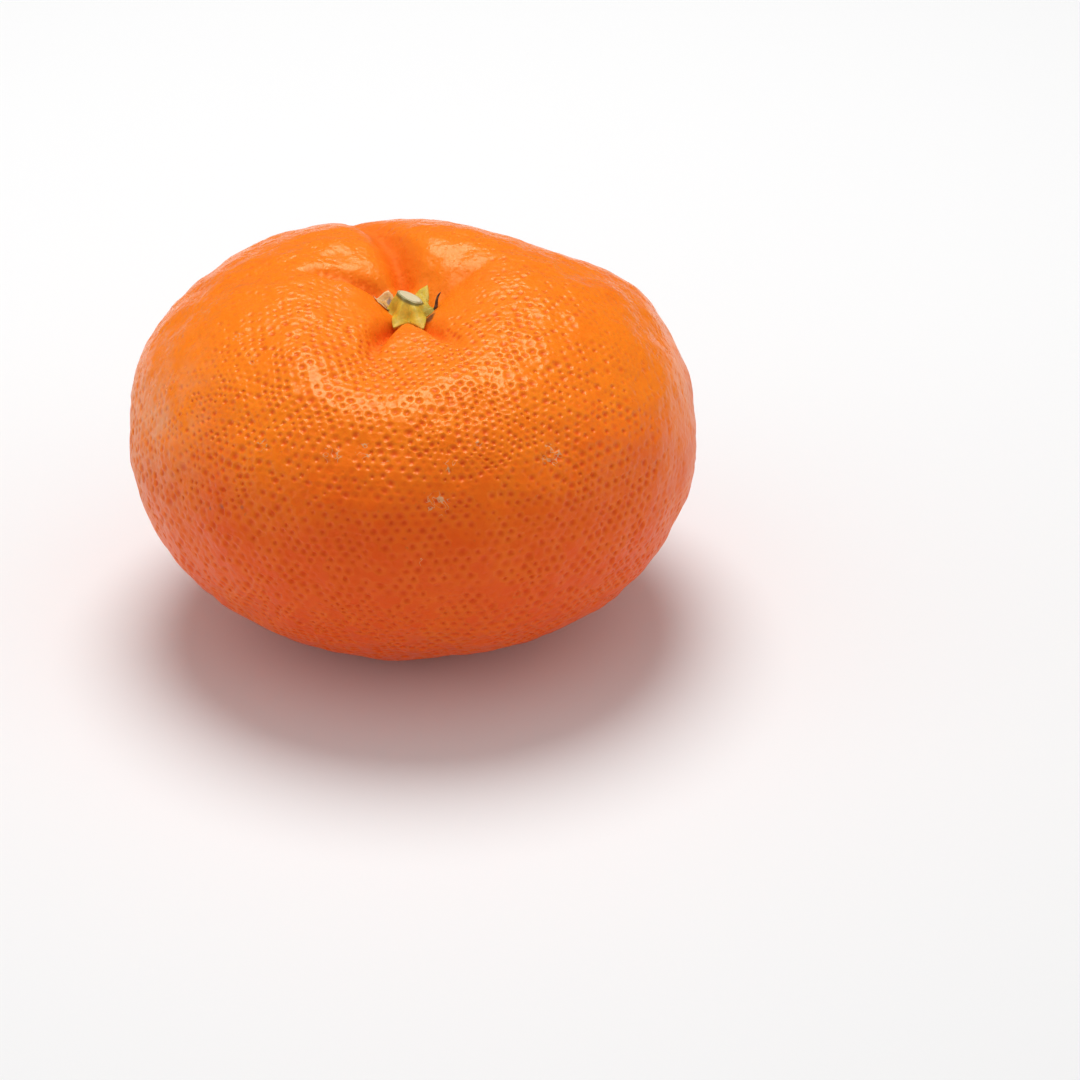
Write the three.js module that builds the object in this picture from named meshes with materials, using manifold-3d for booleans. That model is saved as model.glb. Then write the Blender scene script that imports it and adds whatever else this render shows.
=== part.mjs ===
// A mandarin as picked: one squat fruit in pitted peel, the star-shaped calyx in its
// stem hollow, the cut stem end that the calyx holds, and two sepals that have withered.
// Millimetres, +Z up. The fruit stands at z = 0 on a flat ring round its blossom end,
// and the middle of its box lies over the origin.
import * as THREE from "three";
import { mergeVertices } from "three/addons/utils/BufferGeometryUtils.js";
import Module from "manifold-3d";

const wasm = await Module();
wasm.setup();

// ---- driving dimensions ----
const HALF_WIDTH = 36.8; // stem axis to the side of the fruit, before its swellings
const UPPER_HEIGHT = 24.6; // widest level up to the shoulders
const LOWER_HEIGHT = 27.4; // widest level down to the blossom end
const STANDING_HEIGHT = 26.2; // widest level above the surface that the fruit stands on
const SIDE_FULLNESS = 0.96; // 1 is an ellipse, and less is boxier
const END_FULLNESS = 0.94;
const BODY_SHIFT = 0.6; // the body's middle is this far along +X from the stem axis
// The stem hollow is a broad dish with a steep well in its middle, where the calyx sits.
const STEM_DISH = { depth: 3.6, radius: 11.5, flatness: 2 };
const STEM_WELL = { depth: 3.35, seat: 2.6, radius: 2, flatness: 1.05 };
const DISH_OPENS = { azimuth: 270, by: 0.3 }; // it is wider towards this side, by this share
const WELL_OPENS = [
  { azimuth: 270, by: 0.8, narrowness: 2 },
  { azimuth: 102, by: 1.6, narrowness: 40 },
  { azimuth: 160, by: 0.6, narrowness: 24 },
];
const HOLLOW_FADES = [0, 0.4]; // it dies away to nothing at the widest level, as a share
const BLOSSOM_HOLLOW = { depth: 1.5, radius: 5, flatness: 2 };

const PIT_ROWS = 9; // oil-gland pits along one edge of the icosahedron they are laid out on
const ICOSAHEDRON_EDGE = 1.107; // of a unit icosahedron, in radians about its middle
const PIT_DEPTH = { least: 0.75, most: 1.05 };
const PIT_RIM = 0.4; // its place between the bottom of a pit and the middle of three pits
const PIT_SCATTER = 0.27; // how far a pit strays from its row, as a share of their spacing
const PITLESS = { stem: [6, 9], foot: [0.5, 1.5] }; // radii and heights where the pits fade in
const STEM_CROWDING = { share: 0.5, reach: 0.5 }; // closer pits near the stem, reach in radians

const CLEARANCE = 0.3; // between touching pieces
const SEAT_LIFT = 0.45; // over the peel, which leaves about the clearance on its steep parts
const CALYX = { collar: 1.54, cup: 1.46, notch: 2.6, crown: 2.15, cupFloor: 0.8, edge: 0.8 };
const LOBE_HALF_ANGLE = 33;
const LOBE_TAPER = 1.4; // 1 has straight sides in plan, and more hollows them
const LOBE_BEND = 2.2; // radius from which the lobes bend down or up
const STUB = { radius: 1.16, height: 1.1 };
const CUT = { slant: 0.5, azimuth: 16 }; // the stem was cut askew: fall per millimetre
const DRY_TIP = { azimuth: 344, from: 3.6, root: 0.36, point: 0.22 }; // the last two are radii
const DRY_TIP_CURL = [[0, 0, 0.9], [0.05, 0.1, 1.4], [0.1, 0.2, 1.9], [0.4, 0.35, 2.5]];
const DRY_SEPAL = { azimuth: 170, from: 3.25, length: 2.1, width: 2.8, thickness: 0.6 };

// Broad swellings (+) and hollows (-) of the peel: where they lie, seen from the middle
// of the fruit, their spread in degrees, and their height.
const SWELLINGS = [
  { azimuth: 52, elevation: 38, spread: 16, height: -3.9 },
  { azimuth: 90, elevation: 40, spread: 14, height: -0.9 },
  { azimuth: 140, elevation: 42, spread: 18, height: 1.3 },
  { azimuth: 174, elevation: 24, spread: 20, height: 1.3 },
  { azimuth: 30, elevation: 36, spread: 13, height: 1.1 },
  { azimuth: -5, elevation: 12, spread: 16, height: -0.6 },
  { azimuth: 195, elevation: -8, spread: 16, height: 0.7 },
  { azimuth: 208, elevation: -34, spread: 16, height: 0.2 },
  { azimuth: 284, elevation: -58, spread: 20, height: -0.8 },
  { azimuth: 268, elevation: 68, spread: 19, height: -2.9 },
  { azimuth: 72, elevation: 74, spread: 9, height: 0.7 },
  { azimuth: 256, elevation: 56, spread: 8, height: -1.2 },
  { azimuth: 234, elevation: 54, spread: 9, height: 0.5 },
  { azimuth: 283, elevation: 55, spread: 10, height: 0.3 },
];

// Creases that run out of the stem hollow: their azimuth at the stem, how far they have
// turned at their reach, where they have died away, and their depth and half width.
const CREASES = [
  { azimuth: 100, turn: 16, depth: 2, reach: 36, width: 1.9 },
  { azimuth: 152, turn: 22, depth: 1.6, reach: 18, width: 1 },
  { azimuth: 241, turn: 15, depth: 2.7, reach: 19, width: 1.05 },
  { azimuth: 288, turn: 10, depth: 2.1, reach: 18, width: 1.05 },
  { azimuth: 10, turn: 20, depth: 0.9, reach: 15, width: 1.6 },
  { azimuth: 62, turn: 0, depth: 0.5, reach: 8, width: 0.9 },
];
const CREASE_START = [2.6, 4.9]; // radii between which every crease grows to its depth
const CREASE_SHARPNESS = 1.7; // 2 is a round-bottomed crease, and less is a sharper one

// Lobes of the calyx: the direction of each tip, its distance from the stem axis, and how
// far it lifts off a bed without creases.
const LOBES = [
  { azimuth: 58, tip: 4.1, lift: -0.6 },
  { azimuth: 190, tip: 3.6, lift: -0.7 },
  { azimuth: 246, tip: 5, lift: -1.3 },
  { azimuth: 291, tip: 5.1, lift: -1.4 },
  { azimuth: 342, tip: 3.5, lift: -0.5 },
];

const COLOURS = { peel: 0xee7a12, calyx: 0xa9a233, stub: 0xd3cfa6, tip: 0x4a3426, sepal: 0xc98a4b };

// ---- helpers ----
const { degToRad, smoothstep, lerp, clamp } = THREE.MathUtils;

function bearing(azimuth, elevation = 0) {
  const [a, e] = [degToRad(azimuth), degToRad(elevation)];
  return new THREE.Vector3(Math.cos(a) * Math.cos(e), Math.sin(a) * Math.cos(e), Math.sin(e));
}

// A random number generator that gives the same draw on every run.
function seeded(seed) {
  return () => {
    seed = (seed + 0x6d2b79f5) | 0;
    let t = Math.imul(seed ^ (seed >>> 15), 1 | seed);
    t = (t + Math.imul(t ^ (t >>> 7), 61 | t)) ^ t;
    return ((t ^ (t >>> 14)) >>> 0) / 4294967296;
  };
}

// Only the positions, with shared corners merged, as a closed solid needs.
function welded(geometry) {
  const bare = new THREE.BufferGeometry();
  bare.setAttribute("position", geometry.getAttribute("position"));
  bare.setIndex(geometry.index);
  return mergeVertices(bare);
}

// Moves every vertex of a geometry to where place(vertex) says.
function reshape(geometry, place) {
  const points = geometry.getAttribute("position");
  const v = new THREE.Vector3();
  for (let i = 0; i < points.count; i++) {
    place(v.fromBufferAttribute(points, i));
    points.setXYZ(i, v.x, v.y, v.z);
  }
  return geometry;
}

function solid(geometry) {
  const closed = welded(geometry);
  const made = new wasm.Mesh({
    numProp: 3,
    vertProperties: new Float32Array(closed.getAttribute("position").array),
    triVerts: new Uint32Array(closed.index.array),
  });
  return new wasm.Manifold(made);
}

function geometryOf(manifold) {
  const { vertProperties, triVerts } = manifold.getMesh();
  const geometry = new THREE.BufferGeometry();
  geometry.setAttribute("position", new THREE.BufferAttribute(vertProperties, 3));
  geometry.setIndex(new THREE.BufferAttribute(triVerts, 1));
  geometry.computeVertexNormals();
  return geometry;
}

function node(name, geometry, color, roughness) {
  const material = new THREE.MeshStandardMaterial({ color, roughness, metalness: 0 });
  const mesh = new THREE.Mesh(geometry, material);
  mesh.name = name;
  return mesh;
}

// ---- the fruit's form ----
const hollow = ({ depth, radius, flatness }, r) => depth * Math.exp(-((r / radius) ** flatness));

// 1 at a point on this side of the stem axis, and 0 on the other side.
function towards(x, y, azimuth) {
  const way = bearing(azimuth);
  return (1 + (x * way.x + y * way.y) / (Math.hypot(x, y) || 1)) / 2;
}

// The stem hollow's depth, with a lower lip on the side to which it opens.
function stemHollow(x, y) {
  const r = Math.hypot(x, y);
  const dish = 1 + DISH_OPENS.by * towards(x, y, DISH_OPENS.azimuth);
  let well = 1;
  for (const { azimuth, by, narrowness } of WELL_OPENS) well += by * towards(x, y, azimuth) ** narrowness;
  return hollow(STEM_DISH, r / dish) + hollow(STEM_WELL, Math.max(r - STEM_WELL.seat, 0) / well);
}

// How far the creases cut in at a point of the upper peel.
function creaseDepth(x, y) {
  const r = Math.hypot(x, y);
  let depth = 0;
  for (const crease of CREASES) {
    const along = bearing(crease.azimuth + (crease.turn * r) / crease.reach);
    const ahead = x * along.x + y * along.y;
    const aside = x * along.y - y * along.x;
    if (ahead <= 0) continue;
    const length = smoothstep(r, ...CREASE_START) * (1 - smoothstep(r, 0.3 * crease.reach, crease.reach));
    depth += crease.depth * length * Math.exp(-(Math.abs(aside / crease.width) ** CREASE_SHARPNESS));
  }
  return depth;
}

// The point of the smooth peel that lies in the direction d from the fruit's middle.
function peelPoint(d) {
  const ring = Math.hypot(d.x, d.y);
  const widen = ring > 0 ? HALF_WIDTH * ring ** (SIDE_FULLNESS - 1) : 0;
  const half = d.z > 0 ? UPPER_HEIGHT : -LOWER_HEIGHT;
  const p = new THREE.Vector3(d.x * widen, d.y * widen, half * Math.abs(d.z) ** END_FULLNESS);
  for (const { azimuth, elevation, spread, height } of SWELLINGS) {
    const nearness = (d.dot(bearing(azimuth, elevation)) - 1) / (1 - Math.cos(degToRad(spread)));
    p.addScaledVector(d, height * Math.exp(nearness));
  }
  p.x += BODY_SHIFT;
  if (d.z > 0) p.z -= (stemHollow(p.x, p.y) + creaseDepth(p.x, p.y)) * smoothstep(d.z, ...HOLLOW_FADES);
  else p.z += hollow(BLOSSOM_HOLLOW, Math.hypot(p.x, p.y));
  p.z = Math.max(p.z + STANDING_HEIGHT, 0);
  return p;
}

// The height of the smooth peel over a point near the stem, found by a few corrections.
function peelHeight(x, y) {
  const aim = new THREE.Vector2(x - BODY_SHIFT, y).divideScalar(HALF_WIDTH);
  let p;
  for (let i = 0; i < 6; i++) {
    p = peelPoint(new THREE.Vector3(aim.x, aim.y, Math.sqrt(1 - aim.lengthSq())));
    aim.x += (x - p.x) / HALF_WIDTH;
    aim.y += (y - p.y) / HALF_WIDTH;
  }
  return p.z;
}

// The same without the creases, which the lobes of the calyx span.
const bedHeight = (x, y) => peelHeight(x, y) + creaseDepth(x, y);

// Draws the directions closer together round the stem, where a mandarin's pits crowd.
function crowdToStem(d) {
  const { share, reach } = STEM_CROWDING;
  const crowded = (angle) => angle - share * reach * (1 - Math.exp(-angle / reach));
  const angle = (Math.PI * crowded(Math.acos(clamp(d.z, -1, 1)))) / crowded(Math.PI);
  const ring = Math.hypot(d.x, d.y) || 1;
  return d.set((d.x / ring) * Math.sin(angle), (d.y / ring) * Math.sin(angle), Math.cos(angle));
}

function pitDepth(p, draw) {
  const fromStem = p.z > STANDING_HEIGHT ? smoothstep(Math.hypot(p.x, p.y), ...PITLESS.stem) : 1;
  return lerp(PIT_DEPTH.least, PIT_DEPTH.most, draw) * fromStem * smoothstep(p.z, ...PITLESS.foot);
}

// The peel. Each corner of a fine icosahedron is the bottom of a pit, and each of its
// faces holds one point of the rim of each of its three pits.
function fruitGeometry() {
  const random = seeded(11);
  const lattice = welded(new THREE.IcosahedronGeometry(1, PIT_ROWS - 1));
  const corners = lattice.getAttribute("position");
  const stray = (PIT_SCATTER * ICOSAHEDRON_EDGE) / PIT_ROWS;
  const scatter = () => stray * (2 * random() - 1);
  const pits = Array.from({ length: corners.count }, (_, i) => {
    const d = new THREE.Vector3().fromBufferAttribute(corners, i);
    return d.add(new THREE.Vector3(scatter(), scatter(), scatter())).normalize();
  });

  const points = pits.map((pit) => {
    const d = crowdToStem(pit.clone());
    const inward = new THREE.Vector3(-d.x / HALF_WIDTH, -d.y / HALF_WIDTH, -d.z / UPPER_HEIGHT);
    const p = peelPoint(d);
    return p.addScaledVector(inward.normalize(), pitDepth(p, random()));
  });
  const triangles = [];
  const rims = new Map(); // of each side of a face, from one pit to the next: their rim points
  for (let f = 0; f < lattice.index.count; f += 3) {
    const face = lattice.index.array.slice(f, f + 3);
    const middle = new THREE.Vector3();
    face.forEach((pit) => middle.addScaledVector(pits[pit], 1 / 3));
    const rim = points.length;
    for (const pit of face) {
      const d = pits[pit].clone().lerp(middle, PIT_RIM).normalize();
      points.push(peelPoint(crowdToStem(d)));
    }
    triangles.push(rim, rim + 1, rim + 2);
    for (let k = 0; k < 3; k++) {
      const next = (k + 1) % 3;
      rims.set(`${face[k]}>${face[next]}`, [rim + k, rim + next]);
    }
  }
  for (const [side, [fromLeft, toLeft]] of rims) {
    const [from, to] = side.split(">").map(Number);
    const [toRight, fromRight] = rims.get(`${to}>${from}`);
    triangles.push(from, fromRight, fromLeft);
    if (from < to) triangles.push(fromRight, toRight, toLeft, fromRight, toLeft, fromLeft);
  }
  return new THREE.BufferGeometry().setFromPoints(points).setIndex(triangles);
}

// ---- the calyx ----
// How near a direction is to a lobe's middle: 1 there, and 0 beside the lobe.
function lobeShare(azimuth, lobe) {
  const off = Math.abs(THREE.MathUtils.euclideanModulo(azimuth - lobe.azimuth + 180, 360) - 180);
  return Math.max(0, 1 - off / LOBE_HALF_ANGLE);
}

// The calyx's edge: round between its lobes, and drawn out to a point at each.
const calyxEdge = (azimuth) =>
  LOBES.reduce((edge, lobe) => {
    const share = lobeShare(azimuth, lobe) ** LOBE_TAPER;
    return Math.max(edge, CALYX.notch + (lobe.tip - CALYX.notch) * share);
  }, CALYX.notch);

// How far the lobes' bending lifts a point at the radius r.
const lobeLift = (azimuth, r) =>
  LOBES.reduce(
    (rise, lobe) => rise + lobe.lift * lobeShare(azimuth, lobe) * smoothstep(r, LOBE_BEND, lobe.tip), 0,
  );

// How far the askew cut lifts a point, all of it at the share 1 and none at 0.
function cutLift(x, y, share) {
  const fall = bearing(CUT.azimuth);
  return -CUT.slant * (x * fall.x + y * fall.y) * clamp(share, 0, 1);
}

// A lathe's profile has 0 at the axis, 1 at the collar and 2 at the lobed edge.
function calyxGeometry() {
  const { collar, cup, crown, cupFloor, edge } = CALYX;
  const profile = [
    [0, -0.8], [1, -0.8], [2, -0.8], [2, edge], [1.7, 1.2], [1.35, 1.75], [1.12, 2.2],
    [1, crown], [cup / collar, crown], [cup / collar, cupFloor], [0, cupFloor],
  ].map(([out, height]) => new THREE.Vector2(out, height));
  const lathe = new THREE.LatheGeometry(profile, 70).rotateX(Math.PI / 2);
  const stemFoot = peelHeight(0, 0);
  return reshape(lathe, (v) => {
    const out = Math.hypot(v.x, v.y);
    const azimuth = Math.atan2(v.y, v.x);
    const degrees = THREE.MathUtils.radToDeg(azimuth);
    const reach = calyxEdge(degrees);
    const r = out <= 1 ? out * collar : lerp(collar, reach, out - 1);
    v.x = r * Math.cos(azimuth);
    v.y = r * Math.sin(azimuth);
    v.z += cutLift(v.x, v.y, (v.z - cupFloor) / (crown - cupFloor));
    v.z += lerp(stemFoot, bedHeight(v.x, v.y), smoothstep(out, 1, 2)) + lobeLift(degrees, r);
  });
}

// ---- the cut stem end, seated in the calyx's cup ----
function stubGeometry() {
  const { radius, height } = STUB;
  const profile = [
    [0, 0], [radius, 0], [radius, height - 0.2], [0.88 * radius, height], [0.4 * radius, height - 0.1],
    [0, height - 0.1],
  ].map(([r, h]) => new THREE.Vector2(r, h));
  const seat = peelHeight(0, 0) + CALYX.cupFloor + CLEARANCE;
  return reshape(new THREE.LatheGeometry(profile, 28).rotateX(Math.PI / 2), (v) => {
    v.z += seat + cutLift(v.x, v.y, v.z / height);
  });
}

// ---- withered sepals ----
// A thin point that has dried and curled up from the calyx's right-hand lobe.
function dryTipGeometry() {
  const foot = bearing(DRY_TIP.azimuth).multiplyScalar(DRY_TIP.from);
  foot.z = peelHeight(foot.x, foot.y);
  const curl = new THREE.CatmullRomCurve3(
    DRY_TIP_CURL.map((bend) => new THREE.Vector3(...bend).add(foot)),
  );
  const steps = 12;
  const profile = [new THREE.Vector2(0, 0)];
  for (let i = 0; i <= steps; i++) {
    profile.push(new THREE.Vector2(lerp(DRY_TIP.root, DRY_TIP.point, i / steps), i / steps));
  }
  profile.push(new THREE.Vector2(0, 1));
  const lathe = new THREE.LatheGeometry(profile, 8).rotateX(Math.PI / 2);
  return reshape(lathe, (v) => {
    const at = curl.getPoint(clamp(v.z, 0, 1));
    const along = curl.getTangent(clamp(v.z, 0, 1));
    const turn = new THREE.Quaternion().setFromUnitVectors(new THREE.Vector3(0, 0, 1), along);
    v.setZ(0).applyQuaternion(turn).add(at);
  });
}

// A papery sepal, pointed at both ends and cupped upwards, that lies in the stem hollow.
function drySepalGeometry() {
  const { azimuth, from, length, width, thickness } = DRY_SEPAL;
  const along = bearing(azimuth);
  const profile = [[0, 0], [0.6, 0], [1, 0], [1, thickness], [0.6, thickness], [0, thickness]];
  const lathe = new THREE.LatheGeometry(profile.map(([r, h]) => new THREE.Vector2(r, h)), 24);
  return reshape(lathe.rotateX(Math.PI / 2), (v) => {
    const aside = (v.y * width * (1 - 0.35 * v.x * v.x)) / 2;
    const out = from + ((v.x + 1) * length) / 2;
    const cupped = 0.35 * (v.x * v.x + v.y * v.y);
    v.set(out * along.x - aside * along.y, out * along.y + aside * along.x, v.z + cupped);
    v.z += peelHeight(v.x, v.y) + CLEARANCE;
  });
}

// ---- the whole mandarin ----
const fruit = solid(fruitGeometry());
const liftedFruit = fruit.translate([0, 0, SEAT_LIFT]);
const fitted = (geometry) => geometryOf(solid(geometry).subtract(liftedFruit));

const mandarin = new THREE.Group();
mandarin.add(
  node("fruit", geometryOf(fruit), COLOURS.peel, 0.45),
  node("calyx", fitted(calyxGeometry()), COLOURS.calyx, 0.7),
  node("stem_stub", geometryOf(solid(stubGeometry())), COLOURS.stub, 0.85),
  node("dry_sepal_tip", fitted(dryTipGeometry()), COLOURS.tip, 0.8),
  node("dry_sepal", fitted(drySepalGeometry()), COLOURS.sepal, 0.75),
);

const box = new THREE.Box3().setFromObject(mandarin);
const middle = box.getCenter(new THREE.Vector3());
mandarin.children.forEach((mesh) => mesh.position.set(-middle.x, -middle.y, 0));

export default mandarin;
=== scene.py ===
"""A fresh mandarin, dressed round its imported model.

The fruit, its calyx, the cut stem end and two withered sepals each get a fine mesh and a
material of their own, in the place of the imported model's plainer solid. Everything is in
metres, +Z up, and the fruit stands on the floor at z = 0. It is laid out as an add-on: the
sizes and colours are in the sidebar's Mandarin tab, and one operator builds each piece.
"""

import math

import bmesh
import bpy
import numpy as np
from bpy.props import FloatProperty, FloatVectorProperty, IntProperty, PointerProperty
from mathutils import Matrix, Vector, noise


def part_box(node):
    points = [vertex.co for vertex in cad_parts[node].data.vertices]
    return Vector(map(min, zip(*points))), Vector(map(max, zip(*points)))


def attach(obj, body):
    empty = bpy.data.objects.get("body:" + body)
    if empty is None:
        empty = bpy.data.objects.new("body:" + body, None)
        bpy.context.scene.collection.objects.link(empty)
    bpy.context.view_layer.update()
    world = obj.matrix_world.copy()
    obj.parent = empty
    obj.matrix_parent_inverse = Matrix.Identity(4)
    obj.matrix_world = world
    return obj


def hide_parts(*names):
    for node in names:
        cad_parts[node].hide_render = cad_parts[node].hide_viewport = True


bl_info = {
    "name": "Mandarin",
    "version": (1, 0, 0),
    "blender": (4, 5, 0),
    "location": "View3D > Sidebar > Mandarin",
    "description": "Builds a fresh mandarin with its calyx, cut stem end and withered sepals",
    "category": "Object",
}

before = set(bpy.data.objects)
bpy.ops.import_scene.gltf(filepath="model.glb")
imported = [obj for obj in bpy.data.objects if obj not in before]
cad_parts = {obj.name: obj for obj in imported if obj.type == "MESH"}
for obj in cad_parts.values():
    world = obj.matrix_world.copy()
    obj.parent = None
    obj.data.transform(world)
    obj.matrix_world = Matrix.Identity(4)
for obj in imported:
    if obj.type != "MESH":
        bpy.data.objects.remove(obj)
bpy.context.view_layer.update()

MM = 0.001
STUB_LOW, STUB_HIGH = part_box("stem_stub")
STEM_AXIS = (STUB_LOW + STUB_HIGH) / 2
STEM_AXIS.z = 0

# ---- the form of the peel ----
HALF_WIDTH = 36.8 * MM  # stem axis to the side of the fruit, before its swellings
UPPER_HEIGHT = 24.6 * MM  # widest level up to the shoulders
LOWER_HEIGHT = 27.4 * MM  # widest level down to the blossom end
STANDING_HEIGHT = 26.2 * MM  # widest level above the floor
SIDE_FULLNESS = 0.96  # 1 is an ellipse, and less is boxier
END_FULLNESS = 0.94
BODY_SHIFT = 0.6 * MM  # the body's middle is this far along +X from the stem axis
# The stem hollow is a broad dish with a steep well in its middle, where the calyx sits. The
# well opens towards each of three azimuths, by a share, the more narrowly the higher the last.
STEM_DISH = {"depth": 3.6 * MM, "radius": 11.5 * MM, "flatness": 2}
STEM_WELL = {"depth": 3.35 * MM, "seat": 2.6 * MM, "radius": 2.0 * MM, "flatness": 1.05}
DISH_OPENS = {"azimuth": 270, "by": 0.3}  # it is wider towards this side, by this share
WELL_OPENS = ((270, 0.8, 2), (102, 1.6, 40), (160, 0.6, 24))
HOLLOW_FADES = (0, 0.4)  # it dies away to nothing at the widest level, as a share
BLOSSOM_HOLLOW = {"depth": 1.5 * MM, "radius": 5 * MM, "flatness": 2}

# Broad swellings (+) and hollows (-) of the peel: azimuth, elevation, spread in degrees
# as seen from the middle of the fruit, and height.
SWELLINGS = (
    (52, 38, 16, -3.9 * MM),
    (90, 40, 14, -0.9 * MM),
    (140, 42, 18, 1.3 * MM),
    (174, 24, 20, 1.3 * MM),
    (30, 36, 13, 1.1 * MM),
    (-5, 12, 16, -0.6 * MM),
    (195, -8, 16, 0.7 * MM),
    (208, -34, 16, 0.2 * MM),
    (284, -58, 20, -0.8 * MM),
    (268, 68, 19, -2.9 * MM),
    (72, 74, 9, 0.7 * MM),
    (256, 56, 8, -1.2 * MM),
    (234, 54, 9, 0.5 * MM),
    (283, 55, 10, 0.3 * MM),
)

# Creases that run out of the stem hollow: azimuth at the stem, how far it has turned at the
# far end, depth, reach and half width.
CREASES = (
    (100, 16, 2.0 * MM, 36 * MM, 1.9 * MM),
    (152, 22, 1.6 * MM, 18 * MM, 1.0 * MM),
    (241, 15, 2.7 * MM, 19 * MM, 1.05 * MM),
    (288, 10, 2.1 * MM, 18 * MM, 1.05 * MM),
    (10, 20, 0.9 * MM, 15 * MM, 1.6 * MM),
    (62, 0, 0.5 * MM, 8 * MM, 0.9 * MM),
)
CREASE_START = (2.6 * MM, 4.9 * MM)  # radii between which every crease grows to its depth
CREASE_FADES = 0.3  # the share of its reach at which a crease begins to die away
CREASE_SHARPNESS = 1.7  # 2 is a round-bottomed crease, and less is a sharper one

# Lobes of the calyx: azimuth, distance of the tip from the stem axis, how far the tip droops.
LOBES = (
    (58, 4.1 * MM, 0.6 * MM),
    (190, 3.6 * MM, 0.7 * MM),
    (246, 5.0 * MM, 1.3 * MM),
    (291, 5.1 * MM, 1.4 * MM),
    (342, 3.5 * MM, 0.5 * MM),
)
LOBE_HALF_ANGLE = 33
LOBE_TAPER = 1.4  # 1 has straight sides in plan, and more hollows them
LOBE_BEND = 2.2 * MM  # radius from which the lobes bend down
RIB_HALF_ANGLE = 16  # of the raised rib along each lobe
RIB_HEIGHT = 0.16 * MM
CALYX_COLLAR = 1.54 * MM  # radius of the collar round the stem end
CALYX_CUP = 1.46 * MM  # radius of the cup inside the collar
CALYX_NOTCH = 2.6 * MM  # distance of the edge between two lobes from the stem axis
CALYX_CROWN = 2.15 * MM  # top of the collar above the peel
CALYX_FLOOR = 0.8 * MM  # bottom of the cup above the peel
CALYX_UNDERSIDE = -0.15 * MM  # it is pressed this far into the peel
CUT_SLANT = {"slant": 0.5, "azimuth": 16}  # the stem was cut askew: fall per metre
STEM_END = {"radius": 1.45 * MM, "height": 1.42 * MM, "dished": 0.04 * MM}  # from the cup's floor
DRY_TIP_ROOT = {"azimuth": 344, "from": 2.9 * MM}
DRY_SEPAL = {"azimuth": 170, "from": 2.2 * MM, "length": 2.5 * MM, "width": 3.4 * MM}
DRY_SEPAL_THICKNESS = 0.16 * MM


# ---- helpers for places ----
def smoothstep(x, low, high):
    t = np.clip((x - low) / (high - low), 0, 1)
    return t * t * (3 - 2 * t)


def bearing(azimuth, elevation=0.0):
    a, e = math.radians(azimuth), math.radians(elevation)
    return np.array([math.cos(a) * math.cos(e), math.sin(a) * math.cos(e), math.sin(e)])


def hollow(radius, form):
    return form["depth"] * np.exp(-((radius / form["radius"]) ** form["flatness"]))


def towards(x, y, azimuth):
    """1 at points on this side of the stem axis, and 0 on the other side."""
    way = bearing(azimuth)
    return (1 + (x * way[0] + y * way[1]) / np.maximum(np.hypot(x, y), 1e-9)) / 2


def stem_hollow(x, y):
    """The stem hollow's depth, with a lower lip on the side to which it opens."""
    r = np.hypot(x, y)
    dish = 1 + DISH_OPENS["by"] * towards(x, y, DISH_OPENS["azimuth"])
    well = 1
    for azimuth, by, narrowness in WELL_OPENS:
        well = well + by * towards(x, y, azimuth) ** narrowness
    beyond_seat = np.maximum(r - STEM_WELL["seat"], 0)
    return hollow(r / dish, STEM_DISH) + hollow(beyond_seat / well, STEM_WELL)


def crease_depth(x, y):
    """How far the creases cut in at a point of the upper peel."""
    r = np.hypot(x, y)
    total = np.zeros_like(r)
    for azimuth, turn, depth, reach, width in CREASES:
        way = np.radians(azimuth + turn * r / reach)
        ahead = x * np.cos(way) + y * np.sin(way)
        aside = x * np.sin(way) - y * np.cos(way)
        length = smoothstep(r, *CREASE_START) * (1 - smoothstep(r, CREASE_FADES * reach, reach))
        across = np.exp(-(np.abs(aside / width) ** CREASE_SHARPNESS))
        total += np.where(ahead > 0, depth * length * across, 0)
    return total


def peel_points(d):
    """The points of the smooth peel in the directions d, with the stem axis at the origin."""
    ring = np.maximum(np.hypot(d[:, 0], d[:, 1]), 1e-9)
    widen = HALF_WIDTH * ring ** (SIDE_FULLNESS - 1)
    half = np.where(d[:, 2] > 0, UPPER_HEIGHT, -LOWER_HEIGHT)
    points = np.column_stack(
        (d[:, 0] * widen, d[:, 1] * widen, half * np.abs(d[:, 2]) ** END_FULLNESS)
    )
    for azimuth, elevation, spread, height in SWELLINGS:
        nearness = (d @ bearing(azimuth, elevation) - 1) / (1 - math.cos(math.radians(spread)))
        points += d * (height * np.exp(nearness))[:, None]
    points[:, 0] += BODY_SHIFT
    x, y = points[:, 0], points[:, 1]
    upper = stem_hollow(x, y) + crease_depth(x, y)
    lower = hollow(np.hypot(x, y), BLOSSOM_HOLLOW)
    points[:, 2] += np.where(d[:, 2] > 0, -upper * smoothstep(d[:, 2], *HOLLOW_FADES), lower)
    points[:, 2] += STANDING_HEIGHT
    points[:, 2] = np.maximum(points[:, 2], 0)
    return points


def peel_height(x, y):
    """The height of the smooth peel over points near the stem, found by a few corrections."""
    x, y = np.atleast_1d(x).astype(float), np.atleast_1d(y).astype(float)
    aim_x, aim_y = (x - BODY_SHIFT) / HALF_WIDTH, y / HALF_WIDTH
    for _ in range(8):
        up = np.sqrt(np.maximum(1 - aim_x**2 - aim_y**2, 0))
        p = peel_points(np.column_stack((aim_x, aim_y, up)))
        aim_x = aim_x + (x - p[:, 0]) / HALF_WIDTH
        aim_y = aim_y + (y - p[:, 1]) / HALF_WIDTH
    return p[:, 2]


def bed_height(x, y):
    """The same without the creases, which the lobes of the calyx span."""
    return peel_height(x, y) + crease_depth(np.atleast_1d(x), np.atleast_1d(y))


def on_peel(azimuth, elevation):
    """The place on the fruit's peel in a direction from its middle."""
    return tuple(peel_points(bearing(azimuth, elevation)[None, :])[0] + np.array(STEM_AXIS))


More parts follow.
